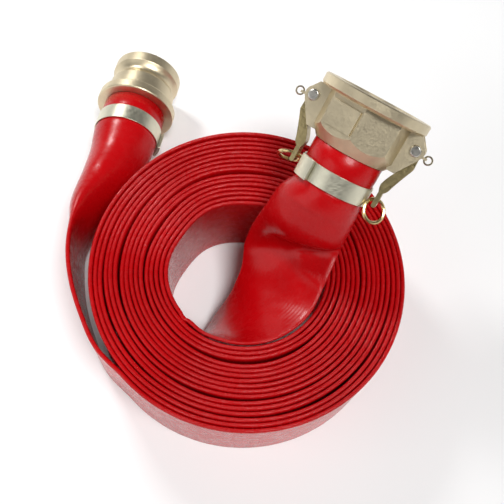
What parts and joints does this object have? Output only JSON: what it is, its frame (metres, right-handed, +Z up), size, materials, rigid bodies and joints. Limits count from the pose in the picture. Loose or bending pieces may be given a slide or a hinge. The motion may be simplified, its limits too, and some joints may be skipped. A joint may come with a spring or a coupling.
{
  "type": "rolled fire hose",
  "caption": "Flat red discharge hose rolled on its side, with a lever coupler rising from the centre and a plain adapter at the outer end.",
  "frame": {"origin": "on the floor, under the centre of the whole object's box", "axes": "+Z up through the roll, +X to the right of the rolled hose, +Y away from the front, towards the side where the outer end's adapter points"},
  "size_m": [0.2878, 0.3606, 0.214],
  "materials": {
    "hose_red": "gloss",
    "cast_alloy": "satin",
    "lever_bronze": "satin",
    "ring_brass": "polished",
    "steel": "satin",
    "steel_wire": "polished",
    "band_steel": "satin",
    "black_rubber": "matte"
  },
  "bodies": {
    "hose_and_couplings": {"hose_roll": "hose_red", "hose_inner_end": "hose_red", "hose_outer_end": "hose_red", "coupler_body": "cast_alloy", "coupler_gasket": "black_rubber", "cam_pin_left": "steel", "cam_pin_right": "steel", "coupler_band": "band_steel", "coupler_band_buckle": "band_steel", "adapter_body": "cast_alloy", "adapter_band": "band_steel", "adapter_band_buckle": "band_steel"},
    "left_lever": {"cam_arm_left": "lever_bronze"},
    "right_lever": {"cam_arm_right": "lever_bronze"},
    "left_ring": {"pull_ring_left": "ring_brass"},
    "right_ring": {"pull_ring_right": "ring_brass"},
    "left_clip": {"safety_clip_left": "steel_wire"},
    "right_clip": {"safety_clip_right": "steel_wire"}
  },
  "joints": [
    {"name": "left_lever_hinge", "type": "hinge", "parent": "hose_and_couplings", "child": "left_lever", "pos_m": [0.05873, 0.06148, 0.16724], "axis": [0.3263, 0.5221, -0.788], "range_deg": [0, 105]},
    {"name": "right_lever_hinge", "type": "hinge", "parent": "hose_and_couplings", "child": "right_lever", "pos_m": [0.13251, 0.01538, 0.16724], "axis": [-0.3263, -0.5221, 0.788], "range_deg": [0, 105]},
    {"name": "left_ring_hinge", "type": "hinge", "parent": "left_lever", "child": "left_ring", "pos_m": [0.04512, 0.0265, 0.13843], "axis": [0.8818, -0.1346, -0.452], "range_deg": [-35, 25]},
    {"name": "right_ring_hinge", "type": "hinge", "parent": "right_lever", "child": "right_ring", "pos_m": [0.10703, -0.01218, 0.13843], "axis": [-0.8818, 0.1346, 0.452], "range_deg": [0, 60]},
    {"name": "left_clip_hinge", "type": "hinge", "parent": "hose_and_couplings", "child": "left_clip", "pos_m": [0.04758, 0.05948, 0.17373], "axis": [0.4176, 0.6683, 0.6157], "range_deg": [-15, 60]},
    {"name": "right_clip_hinge", "type": "hinge", "parent": "hose_and_couplings", "child": "right_clip", "pos_m": [0.1356, 0.00448, 0.17373], "axis": [0.4176, 0.6683, 0.6157], "range_deg": [-60, 15]}
  ]
}
